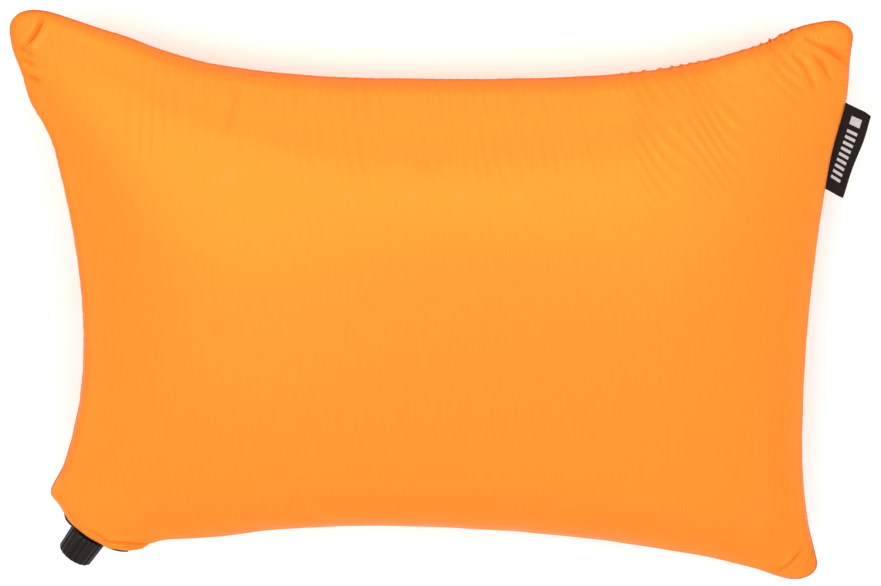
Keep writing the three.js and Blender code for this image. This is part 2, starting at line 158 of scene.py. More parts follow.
def mesh_object(name, points, faces, material):
    mesh = bpy.data.meshes.new(name)
    mesh.from_pydata([tuple(map(float, p)) for p in points], [], [tuple(map(int, f)) for f in faces])
    mesh.update()
    mesh.materials.append(material)
    mesh.polygons.foreach_set("use_smooth", [True] * len(mesh.polygons))
    return add_object(name, mesh)


def grid_faces(rows, columns, first=0, closed=False, flip=False):
    """The quads of a grid of points, row by row; a closed grid's last column meets its first."""
    faces = []
    across = columns if closed else columns - 1
    for j in range(rows - 1):
        for i in range(across):
            a = first + j * columns + i
            b = first + j * columns + (i + 1) % columns
            quad = (a, b, b + columns, a + columns)
            faces.append(quad[::-1] if flip else quad)
    return faces


def end_faces(rows, columns, flip=False):
    """The two faces that close the ends of a closed grid."""
    last = (rows - 1) * columns
    ends = [tuple(range(columns)), tuple(last + k for k in reversed(range(columns)))]
    return [end[::-1] for end in ends] if flip else ends


def rim_of(rows, columns):
    """The indices of a grid's outer points, once round."""
    index = np.arange(rows * columns).reshape(rows, columns)
    return np.concatenate([index[0, :-1], index[:-1, -1], index[-1, :0:-1], index[:0:-1, 0]])


def unit(vectors):
    return vectors / np.linalg.norm(vectors, axis=-1, keepdims=True)


def run_along(path):
    """Metres along an open path at each of its points."""
    return np.concatenate([[0], np.cumsum(np.linalg.norm(np.diff(path, axis=0), axis=1))])


def node_surface(name):
    """A CAD node's surface, to cast rays at."""
    mesh = frame["nodes"][name].data
    mesh.calc_loop_triangles()
    corners = [v.co.copy() for v in mesh.vertices]
    return BVHTree.FromPolygons(corners, [tuple(t.vertices) for t in mesh.loop_triangles])


def grid_surface(grid):
    rows, columns = grid.shape[:2]
    return BVHTree.FromPolygons(grid.reshape(-1, 3).tolist(), grid_faces(rows, columns))


def finer_rows(grid, times):
    """More rows along the first axis, on a smooth curve through the old ones."""
    count = len(grid)
    padded = np.concatenate([2 * grid[:1] - grid[1:2], grid, 2 * grid[-1:] - grid[-2:-1]])
    before, start, end, after = (padded[k : k + count - 1] for k in range(4))
    steps = []
    for k in range(times):
        t = k / times
        curve = 2 * start + (end - before) * t
        curve = curve + (2 * before - 5 * start + 4 * end - after) * t**2
        curve = curve + (3 * start - before - 3 * end + after) * t**3
        steps.append(curve / 2)
    dense = np.stack(steps, 1).reshape((count - 1) * times, *grid.shape[1:])
    return np.concatenate([dense, grid[-1:]])


def finer_grid(grid, times):
    return finer_rows(finer_rows(grid, times).swapaxes(0, 1), times).swapaxes(0, 1)


def grid_normals(grid):
    """Unit normals of a grid, pointing up where it runs left to right and bottom to top."""
    normals = np.cross(np.gradient(grid, axis=1), np.gradient(grid, axis=0))
    return normals / (np.linalg.norm(normals, axis=-1, keepdims=True) + 1e-12)


# -------- the seam line


twist = next(joint for joint in frame["joints"] if joint["type"] == "hinge")
VALVE = np.array(twist["pos_m"])
VALVE_OUT = np.array(twist["axis"])
SEAM_Z = VALVE[2]
cover_low, cover_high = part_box("cover_front_panel")
MIDDLE = np.array([(cover_low.x + cover_high.x) / 2, (cover_low.y + cover_high.y) / 2])
CROWN = cover_high.z - SEAM_Z
label_low, label_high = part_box("side_label")
LABEL = np.array([(label_low.x + label_high.x) / 2, (label_low.y + label_high.y) / 2])


def seam_line():
    """The cover's outline from above, anticlockwise, with the CAD's facets smoothed out."""
    count, rounds = 1440, 60
    panel = node_surface("cover_front_panel")
    down = Vector((0, 0, -1))
    points = []
    for k in range(count):
        heading = np.array([math.cos(2 * math.pi * k / count), math.sin(2 * math.pi * k / count)])
        inside, outside = 0.05, 0.4
        for _ in range(20):
            reach = (inside + outside) / 2
            x, y = MIDDLE + heading * reach
            if panel.ray_cast(Vector((x, y, 1)), down)[0]:
                inside = reach
            else:
                outside = reach
        points.append(MIDDLE + heading * inside)
    line = np.array(points)
    for _ in range(rounds):
        for strength in (0.5, -0.51):  # in and back out again, so that the ears keep their reach
            line = line + strength * ((np.roll(line, 1, 0) + np.roll(line, -1, 0)) / 2 - line)
    return line


def places_along(line):
    """Metres along a closed line at each of its points, and its whole length."""
    run = np.cumsum(np.linalg.norm(np.roll(line, -1, 0) - line, axis=1))
    return np.concatenate([[0], run[:-1]]), run[-1]


def outward_of(line):
    """Unit directions out of an anticlockwise line."""
    ahead = np.roll(line, -1, 0) - np.roll(line, 1, 0)
    return unit(np.stack([ahead[:, 1], -ahead[:, 0]], 1))


def ear(line, side_x, side_y):
    """The line's furthest place in one quadrant."""
    reach = np.linalg.norm(line - MIDDLE, axis=1)
    there = (np.sign(line[:, 0] - MIDDLE[0]) == side_x) & (np.sign(line[:, 1] - MIDDLE[1]) == side_y)
    return int(np.argmax(np.where(there, reach, 0)))


def nearest(line, place):
    return int(np.argmin(np.linalg.norm(line - place[:2], axis=1)))


SEAM = seam_line()
UPPER_RIGHT = ear(SEAM, 1, 1)
UPPER_LEFT = ear(SEAM, -1, 1)
LOWER_RIGHT = ear(SEAM, 1, -1)
MOUTH = nearest(SEAM, VALVE)
LABEL_AT = nearest(SEAM, LABEL)

# Where the sewn outline strays from the smooth one: from a place on the seam, how far anticlockwise, over
# what width and how far outwards, in millimetres.
STRAYS = [
    (LABEL_AT, 26, 22, 3.6),
    (UPPER_RIGHT, -1, 6, 1.5),
    (UPPER_RIGHT, 14, 10, -1.0),
    (UPPER_RIGHT, 34, 12, 1.4),
    (UPPER_RIGHT, 110, 36, -0.9),
    (UPPER_RIGHT, 225, 60, 2.0),
    (UPPER_LEFT, -56, 36, 4.2),
    (UPPER_LEFT, -8, 9, -1.6),
    (UPPER_LEFT, 9, 9, -2.2),
    (UPPER_LEFT, 47, 16, 3.4),
    (UPPER_LEFT, 66, 12, -1.0),
    (LOWER_RIGHT, 1, 7, 2.6),
    (MOUTH, -50, 14, -2.6),
    (MOUTH, -33, 5, 1.5),
    (MOUTH, -23, 7, -2.0),
    (MOUTH, 46, 12, -3.7),
    (MOUTH, 80, 16, 1.6),
]


def strayed(line):
    place, length = places_along(line)
    outward = outward_of(line)
    shift = np.zeros(len(line))
    for start, distance, width, amount in STRAYS:
        gap = (place - place[start] - distance * MM + length / 2) % length - length / 2
        shift += amount * MM * bell(gap, width * MM)
    return line + outward * shift[:, None]


SEAM = strayed(SEAM)
SEAM_PLACE, SEAM_LENGTH = places_along(SEAM)
SEAM_OUT = outward_of(SEAM)


def seam_sway():
    """How far the seam wanders from its height: not at the valve, nor at the label."""
    sway = np.array([noise.noise((x / (60 * MM), y / (60 * MM), 5.5)) for x, y in SEAM])
    sway += 0.3 * np.array([noise.noise((x / (17 * MM), y / (17 * MM), 2.5)) for x, y in SEAM])
    sway *= away_from(VALVE, SEAM, 36 * MM, 70 * MM)
    sway *= away_from(LABEL, SEAM, 28 * MM, 50 * MM)
    return SWAY * 1.6 * sway


SEAM_SWAY = seam_sway()


def stretch_of(line, start, end, count):
    """Points evenly along a closed line, anticlockwise from one index to another."""
    wanted = (end - start) % len(line)
    run = line[(start + np.arange(wanted + 1)) % len(line)]
    along = run_along(run)
    even = np.linspace(0, along[-1], count)
    return np.stack([np.interp(even, along, run[:, 0]), np.interp(even, along, run[:, 1])], 1)


def flat_grid(line, columns, rows):
    """A panel laid flat in a closed line, with corners at the three ears and the valve's mouth."""
    top = stretch_of(line, UPPER_RIGHT, UPPER_LEFT, columns)[::-1]
    left = stretch_of(line, UPPER_LEFT, MOUTH, rows)[::-1]
    bottom = stretch_of(line, MOUTH, LOWER_RIGHT, columns)
    right = stretch_of(line, LOWER_RIGHT, UPPER_RIGHT, rows)
    u = np.linspace(0, 1, columns)[None, :, None]
    v = np.linspace(0, 1, rows)[:, None, None]
    corners = (1 - u) * (1 - v) * bottom[0] + u * (1 - v) * bottom[-1]
    corners = corners + (1 - u) * v * top[0] + u * v * top[-1]
    grid = (1 - v) * bottom[None] + v * top[None] + (1 - u) * left[:, None] + u * right[:, None] - corners
    for _ in range(300):
        grid[1:-1, 1:-1] = (grid[:-2, 1:-1] + grid[2:, 1:-1] + grid[1:-1, :-2] + grid[1:-1, 2:]) / 4
    return grid


def shrunk_line(share, share_at_mouth):
    """The seam line drawn in towards the middle, by another share beside the valve."""
    away = away_from(VALVE, SEAM, 30 * MM, 50 * MM)[:, None]
    return MIDDLE + (SEAM - MIDDLE) * (1 - share_at_mouth - (share - share_at_mouth) * away)


def from_mouth(points):
    """How far along the cut corner's edge points lie from the valve, and how far in from it."""
    away = points[..., :2] - VALVE[:2]
    outward = VALVE_OUT[:2]
    return np.abs(away[..., 0] * outward[1] - away[..., 1] * outward[0]), -(away @ outward)


def mouth_lift(points, rise):
    """How far a rim stands off the seam's height because of the valve's flange."""
    along, inwards = from_mouth(points)
    share = np.minimum(along / MOUTH_HALF, 1)
    return rise * (1 - share**2) ** 2 * bell(inwards, 30 * MM)


def swell(columns, rows):
    """The pillow's swell over a panel's grid: 1 in the middle, 0 all round the rim."""
    u = np.linspace(-1, 1, columns)[None, :]
    v = np.linspace(-1, 1, rows)[:, None]
    return np.sqrt((1 - np.abs(u) ** FULLNESS) * (1 - np.abs(v) ** FULLNESS))


SEAM_TREE = KDTree(len(SEAM))
for k, (x, y) in enumerate(SEAM):
    SEAM_TREE.insert((x, y, 0), k)
SEAM_TREE.balance()


def seam_lookup(grid):
    """For points over the pillow: how far in from the seam, where along it, and its nearest point."""
    flat = grid.reshape(-1, grid.shape[-1])[:, :2]
    index = np.array([SEAM_TREE.find((x, y, 0))[1] for x, y in flat])
    offset = flat - SEAM[index]
    outward = SEAM_OUT[index]
    depth = np.abs((offset * outward).sum(1))
    along = offset[:, 1] * outward[:, 0] - offset[:, 0] * outward[:, 1]
    place = SEAM_PLACE[index] + np.clip(along, -1 * MM, 1 * MM)
    shape = grid.shape[:2]
    return depth.reshape(shape), place.reshape(shape), index.reshape(shape)


# -------- materials


def new_material(name, colour, roughness, specular=0.5, **more):
    """A material and its shader; an underscore in more stands for a space in an input's name."""
    material = bpy.data.materials.new(name)
    material.use_nodes = True
    shader = material.node_tree.nodes["Principled BSDF"]
    shader.inputs["Base Color"].default_value = (*colour, 1)
    shader.inputs["Roughness"].default_value = roughness
    shader.inputs["Specular IOR Level"].default_value = specular
    for key, value in more.items():
        shader.inputs[key.replace("_", " ")].default_value = value
    return material, shader


def add_node(owner, kind, values=(), **settings):
    """A new node in the tree that its owner, a node or a socket, belongs to."""
    node = owner.id_data.nodes.new(kind)
    for key, value in settings.items():
        setattr(node, key, value)
    for key, value in dict(values).items():
        node.inputs[key].default_value = value
    return node


def link(source, target):
    source.id_data.links.new(source, target)


def noise_node(shader, scale, detail=3, roughness=0.5, stretch=(1, 1, 1), uv=None):
    """Noise over the object's own coordinates, or over one of its UV maps."""
    if uv:
        place = add_node(shader, "ShaderNodeUVMap", uv_map=uv).outputs["UV"]
    else:
        place = add_node(shader, "ShaderNodeTexCoord").outputs["Object"]
    mapping = add_node(shader, "ShaderNodeMapping", {"Scale": stretch})
    values = {"Scale": scale, "Detail": detail, "Roughness": roughness}
    texture = add_node(shader, "ShaderNodeTexNoise", values)
    link(place, mapping.inputs["Vector"])
    link(mapping.outputs["Vector"], texture.inputs["Vector"])
    return texture.outputs["Fac"]


def colour_between(factor, low, high, target, start=0.3, end=0.7):
    """Drives a colour by a factor: low up to start, high from end."""
    ramp = add_node(factor, "ShaderNodeValToRGB")
    ramp.color_ramp.elements[0].position = start
    ramp.color_ramp.elements[1].position = end
    ramp.color_ramp.elements[0].color = (*low, 1)
    ramp.color_ramp.elements[1].color = (*high, 1)
    link(factor, ramp.inputs["Fac"])
    link(ramp.outputs["Color"], target)


def rough_between(shader, factor, low, high):
    spread = add_node(shader, "ShaderNodeMapRange", {"To Min": low, "To Max": high})
    link(factor, spread.inputs["Value"])
    link(spread.outputs["Result"], shader.inputs["Roughness"])


def bumps(shader, *layers):
    """Bump layers, each a height and the depth in metres that it stands for."""
    normal = None
    for height, depth in layers:
        bump = add_node(shader, "ShaderNodeBump", {"Strength": 1, "Distance": depth})
        link(height, bump.inputs["Height"])
        if normal:
            link(normal, bump.inputs["Normal"])
        normal = bump.outputs["Normal"]
    link(normal, shader.inputs["Normal"])


def maths(operation, first, second=None):
    """One step of arithmetic; the second number may be a constant."""
    node = add_node(first, "ShaderNodeMath", operation=operation)
    link(first, node.inputs[0])
    if isinstance(second, float):
        node.inputs[1].default_value = second
    elif second is not None:
        link(second, node.inputs[1])
    return node.outputs[0]


def uv_parts(shader, uv):
    """A UV map's coordinates, as the outputs X and Y."""
    parts = add_node(shader, "ShaderNodeSeparateXYZ")
    link(add_node(shader, "ShaderNodeUVMap", uv_map=uv).outputs["UV"], parts.inputs["Vector"])
    return parts.outputs


def weave_height(shader, pitch, uv):
    """Plain weave over a UV map in metres: threads run both ways and take turns on top."""
    parts = uv_parts(shader, uv)
    turns = [maths("MULTIPLY", parts[axis], math.pi / pitch) for axis in "XY"]
    return maths("MULTIPLY", *[maths("SINE", turn) for turn in turns])


def seam_nearness(seam, none, full):
    """From 0 to 1 between two distances from the seam, over the seam map."""
    spread = add_node(seam["Y"], "ShaderNodeMapRange", {"From Min": none, "From Max": full}, clamp=True)
    link(seam["Y"], spread.inputs["Value"])
    return spread.outputs["Result"]


def stitch_puckers(shader, seam):
    """Fine puckers that the stitches draw in the cloth, fading away from the seam."""
    pitch = 3.4 * MM
    wander = maths("MULTIPLY", noise_node(shader, 55, 3, 0.5, uv="seam"), 14.0)
    turns = maths("MULTIPLY", seam["X"], 2 * math.pi / pitch)
    wave = maths("SINE", maths("ADD", turns, wander))
    return maths("MULTIPLY", wave, seam_nearness(seam, 11 * MM, 1.5 * MM))


def cover_cloth():
    """Satin polyester: streaked orange, with painted shade in the folds and along the seam, where the cloth
    also lies in two layers.
    """
    satin = {"Metallic": 0.12, "Specular_Tint": (1, 0.55, 0.22, 1)}
    sheen = {"Sheen_Weight": 0.12, "Sheen_Roughness": 0.35, "Sheen_Tint": (1, 0.3, 0.04, 1)}
    material, shader = new_material("cover_cloth", (0.97, 0.274, 0.026), 0.34, 0.02, **satin, **sheen)
    seam = uv_parts(shader, "seam")
    # The deeper orange mixed in is painted shade: in the folds, and along the seam's groove, where it also
    # stands for the two layers of cloth.
    mix = add_node(shader, "ShaderNodeMix", data_type="RGBA")
    mix.inputs["B"].default_value = (0.93, 0.13, 0.008, 1)
    # Within 5 mm of the seam: partly painted shade of the seam's groove, partly the deeper orange of the
    # cloth lying in two layers.
    doubled_and_seam_shade = maths("MULTIPLY", seam_nearness(seam, 5 * MM, 1 * MM), 0.5)
    # Painted shade in the folds: the deeper orange follows each point's fold depth.
    fold_shade = add_node(shader, "ShaderNodeAttribute", attribute_name="fold").outputs["Fac"]
    link(maths("MAXIMUM", doubled_and_seam_shade, fold_shade), mix.inputs["Factor"])
    streaks = noise_node(shader, 60, 4, 0.6, (14, 1, 1), "cloth")
    colour_between(streaks, (0.96, 0.261, 0.028), (0.98, 0.281, 0.033), mix.inputs["A"])
    link(mix.outputs["Result"], shader.inputs["Base Color"])
    rough_between(shader, noise_node(shader, 35, 2), 0.31, 0.37)
    puckers = stitch_puckers(shader, seam)
    weave = weave_height(shader, 0.45 * MM, "cloth")
    grain = noise_node(shader, 900, 3, 0.6, uv="cloth")
    bumps(shader, (puckers, 0.16 * MM), (weave, 0.012 * MM), (grain, 0.03 * MM))
    return material


def speckled(material, shader, texture, low, high, depth):
    """Makes a material's colour and its bumps follow one noise."""
    specks = noise_node(shader, *texture)
    colour_between(specks, low, high, shader.inputs["Base Color"])
    bumps(shader, (specks, depth))
    return material


def seam_thread():
    look = new_material("seam_thread", (0.85, 0.28, 0.03), 0.7)
    twist_lines = (2500, 2, 0.5, (1, 1, 3))
    return speckled(*look, twist_lines, (0.72, 0.22, 0.02), (0.9, 0.32, 0.04), 0.15 * MM)


def bladder_film():
    """Grey coated film: satin, with the fine crinkle of a laminate."""
    material, shader = new_material("bladder_film", (0.45, 0.47, 0.5), 0.35)
    rough_between(shader, noise_node(shader, 60, 3), 0.28, 0.45)
    crinkle = (220, 6, 0.65)
    return speckled(material, shader, crinkle, (0.4, 0.42, 0.45), (0.5, 0.52, 0.55), 0.25 * MM)


def open_foam():
    """Cream open-cell foam, with its pores, their hollows painted darker as shade."""
    material, shader = new_material("foam", (0.8, 0.73, 0.55), 0.95, 0.2)
    place = add_node(shader, "ShaderNodeTexCoord").outputs["Object"]
    cells = add_node(shader, "ShaderNodeTexVoronoi", {"Scale": 700})
    link(place, cells.inputs["Vector"])
    # Darker towards each pore's middle, where the bump sinks it: painted shade in the pores.
    colour_between(cells.outputs["Distance"], (0.62, 0.53, 0.36), (0.84, 0.77, 0.6),
                   shader.inputs["Base Color"], 0.05, 0.5)
    bumps(shader, (cells.outputs["Distance"], 0.5 * MM))
    return material


def valve_plastic():
    """Black-brown moulded nylon with a fine sparked texture, worn a little paler in places."""
    material, shader = new_material("valve_plastic", (0.012, 0.01, 0.008), 0.28, 0.16)
    worn = noise_node(shader, 300, 4, 0.6)
    unworn_colour, worn_colour = (0.008, 0.0065, 0.005), (0.017, 0.014, 0.011)
    colour_between(worn, unworn_colour, worn_colour, shader.inputs["Base Color"])
    rough_between(shader, noise_node(shader, 180, 3), 0.26, 0.4)
    bumps(shader, (noise_node(shader, 5000, 2), 0.02 * MM))
    return material


def seal_rubber():
    look = new_material("seal_rubber", (0.015, 0.015, 0.015), 0.6)
    dust = (900, 4, 0.6)
    return speckled(*look, dust, (0.011, 0.011, 0.011), (0.03, 0.03, 0.03), 0.02 * MM)


def label_ribbon():
    """Black damask ribbon: a fine rib across and a softer one along it."""
    material, shader = new_material("label_ribbon", (0.012, 0.008, 0.008), 0.8, 0.15, Sheen_Weight=0.03)
    shade = noise_node(shader, 1500, 2, 0.5, (1, 3, 1), "ribbon")
    colour_between(shade, (0.007, 0.004, 0.004), (0.02, 0.013, 0.012), shader.inputs["Base Color"])
    bumps(shader, (weave_height(shader, 0.35 * MM, "ribbon"), 0.05 * MM), (shade, 0.04 * MM))
    return material


def label_motif():
    """The pale weft that floats over the ribbon where its plain pattern shows."""
    look = new_material("label_motif", (0.5, 0.49, 0.47), 0.75, 0.3)
    floats = (2600, 2, 0.5, (4, 1, 1), "ribbon")
    return speckled(*look, floats, (0.36, 0.35, 0.34), (0.62, 0.61, 0.58), 0.06 * MM)


def label_reverse():
    """The ribbon's inner side, where its coloured threads lie loose."""
    look = new_material("label_reverse", (0.1, 0.045, 0.04), 0.85, 0.15)
    loose = (1800, 3, 0.6, (1, 5, 1), "ribbon")
    return speckled(*look, loose, (0.05, 0.02, 0.018), (0.17, 0.08, 0.07), 0.08 * MM)


def floor_paper():
    glow = {"Emission_Color": (1, 1, 1, 1), "Emission_Strength": 0.1}
    material, shader = new_material("floor_paper", (0.95, 0.95, 0.95), 0.9, 0.1, **glow)
    tooth = noise_node(shader, 40, 5, 0.6)
    colour_between(tooth, (0.94, 0.94, 0.94), (0.96, 0.96, 0.96), shader.inputs["Base Color"])
    return material


CLOTH = cover_cloth()
THREAD = seam_thread()
FILM = bladder_film()
FOAM = open_foam()
PLASTIC = valve_plastic()
RUBBER = seal_rubber()
RIBBON = label_ribbon()
MOTIF = label_motif()
REVERSE = label_reverse()
FLOOR = floor_paper()


# -------- the cover


def start_panels():
    """The front and back panels before the simulation, as grids of points."""
    flat = flat_grid(SEAM, ACROSS, UPWARDS)
    rise = CROWN * swell(ACROSS, UPWARDS)
    depth, _, index = seam_lookup(flat)
    lift = mouth_lift(flat, MOUTH_RISE)
    sway = SEAM_SWAY[index] * bell(depth, 25 * MM)
    front = np.dstack([flat, SEAM_Z + sway + rise + lift])
    back = np.dstack([flat, SEAM_Z + sway - rise - lift])
    return front, back, spare_cloth(depth)


def spare_cloth(depth):
    """Each point's share of the spare cloth: by its nearest edge, and near the seam only."""
    rows, columns = depth.shape
    v, u = np.mgrid[0 : 1 : rows * 1j, 0 : 1 : columns * 1j]
    nearness = {"top": v, "bottom": 1 - v, "left": 1 - u, "right": u}
    weights = {edge: near**6 for edge, near in nearness.items()}
    share = sum(SPARE_BY_EDGE[edge] * weight for edge, weight in weights.items()) / sum(weights.values())
    return share * bell(depth, SPARE_REACH)


SIMULATION = {
    "shrink_min": -SPARE_CLOTH,
    "shrink_max": 0,
    "quality": 6,
    "mass": 0.02,
    "tension_stiffness": 60,
    "compression_stiffness": 60,
    "shear_stiffness": 30,
    "bending_stiffness": 0.02,
    "use_pressure": True,
    "uniform_pressure_force": 30,
}


def blow_up(front, back, spare):
    """Blows the panels up as cloth held along the seam, with spare cloth gathered into it."""
    count = front.shape[0] * front.shape[1]
    points = np.concatenate([front.reshape(-1, 3), back.reshape(-1, 3)])
    faces = grid_faces(*front.shape[:2]) + grid_faces(*back.shape[:2], first=count, flip=True)
    bag = mesh_object("bag", points, faces, CLOTH)
    held = bag.vertex_groups.new(name="held")
    taut = bag.vertex_groups.new(name="taut")
    rim = rim_of(*front.shape[:2]).tolist()
    held.add(rim + [count + k for k in rim], 1, "REPLACE")
    for k, tautness in enumerate((1 - spare).ravel().tolist()):
        taut.add([k, count + k], tautness, "REPLACE")
    cloth = bag.modifiers.new("cloth", "CLOTH")
    cloth.point_cache.frame_end = SIM_FRAMES
    cloth.collision_settings.use_collision = False
    settings = cloth.settings
    settings.vertex_group_mass = held.name
    settings.vertex_group_shrink = taut.name
    settings.effector_weights.gravity = 0
    for name, value in SIMULATION.items():
        setattr(settings, name, value)
    for step in range(1, SIM_FRAMES + 1):
        bpy.context.scene.frame_set(step)
    posed = bag.evaluated_get(bpy.context.evaluated_depsgraph_get())
    blown = np.empty(len(points) * 3, np.float32)
    posed.data.vertices.foreach_get("co", blown)
    bpy.data.objects.remove(bag)
    move = blown.reshape(-1, 3) - points
    length = np.linalg.norm(move, axis=1, keepdims=True)
    points = points + move * np.minimum(1, MOST_MOVE / np.maximum(length, 1e-9))
    return points[:count].reshape(front.shape), points[count:].reshape(back.shape)


def eased(grid):
    """A panel with its smallest folds pulled out by the air; the seam stays where it is."""
    grid = grid.copy()
    for _ in range(EASINGS):
        around = grid[:-2, 1:-1] + grid[2:, 1:-1] + grid[1:-1, :-2] + grid[1:-1, 2:]
        grid[1:-1, 1:-1] += 0.5 * (around / 4 - grid[1:-1, 1:-1])
    return grid


def settle(front, back):
    """Brings the crowns to their height without moving the seam, and flattens the back where it lies."""
    panels = []
    for grid, side in ((front, 1), (back, -1)):
        grid = grid.copy()
        rise = side * (grid[..., 2] - SEAM_Z)
        scale = 1 + (CROWN / rise.max() - 1) * smoothstep(rise, 2 * MM, 30 * MM)
        grid[..., 2] = SEAM_Z + side * rise * scale
        panels.append(grid)
    front, back = panels
    softness = 1.5 * MM
    back[..., 2] = softness * np.log1p(np.exp(np.minimum(back[..., 2] / softness, 60)))
    back[..., 2] -= back[..., 2].min()
    return front, back


# Where gathers run: from a place on the seam, how far anticlockwise they start, and for what length; then
# their pitch, height, reach inwards and slant. All but the slant are in millimetres.
TOP_LENGTH = (SEAM_PLACE[UPPER_LEFT] - SEAM_PLACE[UPPER_RIGHT]) % SEAM_LENGTH / MM
LEFT_LENGTH = (SEAM_PLACE[MOUTH] - SEAM_PLACE[UPPER_LEFT]) % SEAM_LENGTH / MM
GATHERS = [
    (UPPER_RIGHT, 22, 116, 6.4, 0.85, 28, 0.4),
    (UPPER_RIGHT, 124, TOP_LENGTH - 160, 5.8, 0.34, 30, 0.1),
    (UPPER_LEFT, 22, 34, 5.2, 0.45, 8, -0.2),
    (UPPER_LEFT, 55, LEFT_LENGTH - 110, 9, 0.3, 9, 0.3),
    (LOWER_RIGHT, 8, 30, 5, 0.16, 7, 0.4),
]

# Creases pressed into the front near an ear or the valve: from and to, in millimetres from there, with their
# width and depth.
CREASES = [
    (SEAM[UPPER_LEFT], (17.5, 3), (5.5, -14), 1.1, 2.7),
    (SEAM[UPPER_LEFT], (3, -14), (12, -19), 1.4, 1.3),
    (SEAM[UPPER_LEFT], (4, -20), (12, -23), 1.3, 1.3),
    (SEAM[UPPER_LEFT], (6, -28), (15, -32), 1.5, 1.2),
    (SEAM[UPPER_LEFT], (119, -30), (112, -54), 2.2, 0.45),
    (SEAM[UPPER_RIGHT], (-31, -2), (1, -23), 1.4, 1.5),
    (SEAM[UPPER_RIGHT], (-25, -9), (-12, -28), 1.4, 1.4),
    (SEAM[UPPER_RIGHT], (-17, -7), (-2, -18), 1.4, 1.2),
    (SEAM[UPPER_RIGHT], (-34, -11), (-21, -33), 1.6, 1.0),
    (SEAM[LOWER_RIGHT], (-10, 20), (-25, 5), 1.5, 1.5),
    (SEAM[LOWER_RIGHT], (-2, 14), (-7, 7), 1.4, 0.8),
    (VALVE, (-2, 9), (12, -1), 1.3, 0.9),
    (VALVE, (7, 0), (35, -6.5), 1.4, 3.6),
    (VALVE, (-2, 6), (-16, 26), 2.4, 0.6),
]


def gather_field(grid, depth, place):
    """Fine gathers across the seam: their height, and how far they push the rim out."""
    height = np.zeros(depth.shape)
    scallop = np.zeros(depth.shape)
    for start, first, length, pitch, amount, reach, slant in GATHERS:
        share = ((place - SEAM_PLACE[start] - first * MM) % SEAM_LENGTH) / (length * MM)
        here = np.where(share <= 1, smoothstep(share, 0, 0.12) * (1 - smoothstep(share, 0.88, 1)), 0)
        strength = 0.3 + 1.0 * table_noise(place, 30 * MM, pitch)
        reach_here = reach * MM * (0.5 + table_noise(place, 14 * MM, 2 * pitch))
        drift = 1.5 * table_noise(place, 24 * MM, 3 * pitch) + slant * depth / (pitch * MM)
        bend = 0.25 * (depth / (30 * MM)) ** 2
        turn = place / (pitch * MM) + drift + bend
        crest = np.sin(2 * math.pi * turn) - 0.45 * np.cos(4 * math.pi * turn)
        fade = np.exp(-1.3 * depth / reach_here)
        height += amount * MM * strength * here * fade * crest
        scallop += 0.2 * amount * MM * strength * here * crest * bell(depth, 3 * MM)
    away = 1 - mouth_nearness(grid)
    return height * away, scallop * away


def crease_field(grid):
    height = np.zeros(grid.shape[:2])
    for spot, start, end, width, deep in CREASES:
        start = np.array(start) * MM + spot[:2]
        run = np.array(end) * MM + spot[:2] - start
        length = np.linalg.norm(run)
        away = grid[..., :2] - start
        along = (away @ run) / length**2
        bow = 0.06 * length * np.sin(math.pi * np.clip(along, 0, 1))
        across = (away[..., 0] * run[1] - away[..., 1] * run[0]) / length + bow
        ends = smoothstep(along, -0.1, 0.35) * (1 - smoothstep(along, 0.6, 1.15))
        valley = bell(across, width * MM)
        ridges = bell(np.abs(across) - 2.3 * width * MM, 1.3 * width * MM)
        height += deep * MM * ends * (0.45 * ridges - valley)
    return height


def table_noise(place, size, seed):
    """Noise from 0 to 1 along the seam, with bumps of about this size."""
    samples = np.arange(0, SEAM_LENGTH + size, size / 4)
    values = np.array([0.5 + noise.noise((s / size, seed, 0.5 * seed)) for s in samples])
    return np.clip(np.interp(place, samples, values), 0, 1)


def mouth_nearness(grid):
    return 1 - away_from(VALVE, grid, MOUTH_NEAR, MOUTH_FAR)


def sewn(grid, flat, side):
    """A finished panel: gathered into the seam, rolled over its stitch line, and creased at the ears.

    The second result is the seam map: each point's place along the seam, its distance from it, and from 0
    to 1 how deep in a fold it lies, which sets the painted fold shade. The mouth isn't sewn, so the map
    keeps away from the seam there.
    """
    normals = grid_normals(grid) * side
    depth, place, index = seam_lookup(flat)
    gathers, scallop = gather_field(grid, depth, place)
    rim_hold = smoothstep(depth, 0, 2.6 * MM)
    bead = 0.25 * MM + 0.9 * MM * smoothstep(-SEAM_OUT[index][..., 0], 0.7, 0.95)
    roll = bead * bell(depth - 2.4 * MM, 1.7 * MM) * (1 - mouth_nearness(grid))
    relief = (gathers + roll) * rim_hold
    creases = crease_field(grid) * (side > 0)
    relief += creases * rim_hold
    # How deep each point lies in a gather or crease valley. The cloth is painted a deeper orange there as
    # painted shade in the folds.
    fold = np.clip(-(gathers + creases) / FOLD_SHADE_DEPTH, 0, 1)
    shaped = grid + normals * relief[..., None]
    shaped[..., :2] += SEAM_OUT[index] * scallop[..., None]
    if side < 0:
        shaped[..., 2] = np.maximum(shaped[..., 2], 0)
    along = (place - SEAM_PLACE[MOUTH]) % SEAM_LENGTH
    return shaped, np.dstack([along, depth + MOUTH_CLEAR * mouth_nearness(grid), fold])


def add_uv_map(piece, name, places):
    """A UV map in metres, from one place for each of the piece's points."""
    layer = piece.data.uv_layers.new(name=name)
    corners = np.empty(len(piece.data.loops), np.int32)
    piece.data.loops.foreach_get("vertex_index", corners)
    layer.data.foreach_set("uv", places[corners].ravel())


